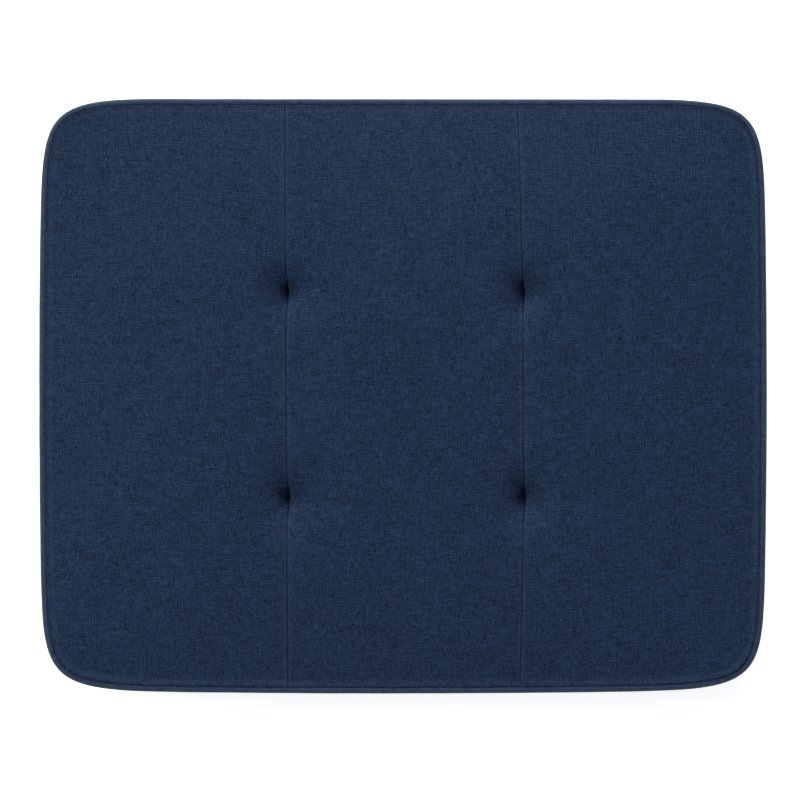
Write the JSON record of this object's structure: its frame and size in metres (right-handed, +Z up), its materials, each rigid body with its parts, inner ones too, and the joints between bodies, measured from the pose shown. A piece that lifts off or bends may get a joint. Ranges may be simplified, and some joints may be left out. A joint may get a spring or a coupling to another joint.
{
  "type": "seat cushion",
  "caption": "Boxed seat cushion with round piping, a crowned top in sewn panels drawn down by blind tufts, a foam core and a coil zip in the back edge.",
  "frame": {"origin": "middle of the flat underside", "axes": "+X to the right along the width, +Y to the back edge that holds the zip, +Z up to the seating face"},
  "size_m": [0.5586, 0.4563, 0.1],
  "materials": {
    "cover_fabric": "matte",
    "piping_cord": "matte",
    "foam": "matte",
    "fibre": "matte",
    "twine": "matte",
    "anchor_nylon": "satin",
    "zip_tape": "matte",
    "zip_coil": "satin",
    "zip_metal": "satin"
  },
  "bodies": {
    "cushion": {"top_panel_left": "cover_fabric", "top_panel_centre": "cover_fabric", "top_panel_right": "cover_fabric", "bottom_panel": "cover_fabric", "boxing_band": "cover_fabric", "zip_placket_upper": "cover_fabric", "zip_placket_lower": "cover_fabric", "top_welt_cover": "cover_fabric", "bottom_welt_cover": "cover_fabric", "top_welt_cord": "piping_cord", "bottom_welt_cord": "piping_cord", "foam_core": "foam", "fibre_wrap_top": "fibre", "fibre_wrap_bottom": "fibre", "tuft_twine_front_left": "twine", "tuft_twine_front_right": "twine", "tuft_twine_back_left": "twine", "tuft_twine_back_right": "twine", "tuft_anchor_front_left": "anchor_nylon", "tuft_anchor_front_right": "anchor_nylon", "tuft_anchor_back_left": "anchor_nylon", "tuft_anchor_back_right": "anchor_nylon", "zip_tape_upper": "zip_tape", "zip_tape_lower": "zip_tape", "zip_coil_upper": "zip_coil", "zip_coil_lower": "zip_coil", "zip_top_stop_upper": "zip_metal", "zip_top_stop_lower": "zip_metal", "zip_bottom_stop": "zip_metal"},
    "slider": {"zip_slider": "zip_metal"},
    "pull_tab": {"zip_pull_tab": "zip_metal"}
  },
  "joints": [
    {"name": "zip_slide", "type": "slide", "parent": "cushion", "child": "slider", "axis": [1, 0, 0], "range_m": [0, 0.352]},
    {"name": "pull_tab_hinge", "type": "hinge", "parent": "slider", "child": "pull_tab", "pos_m": [-0.188, 0.22596, 0.0439], "axis": [0, 0, 1], "range_deg": [0, 165]}
  ]
}
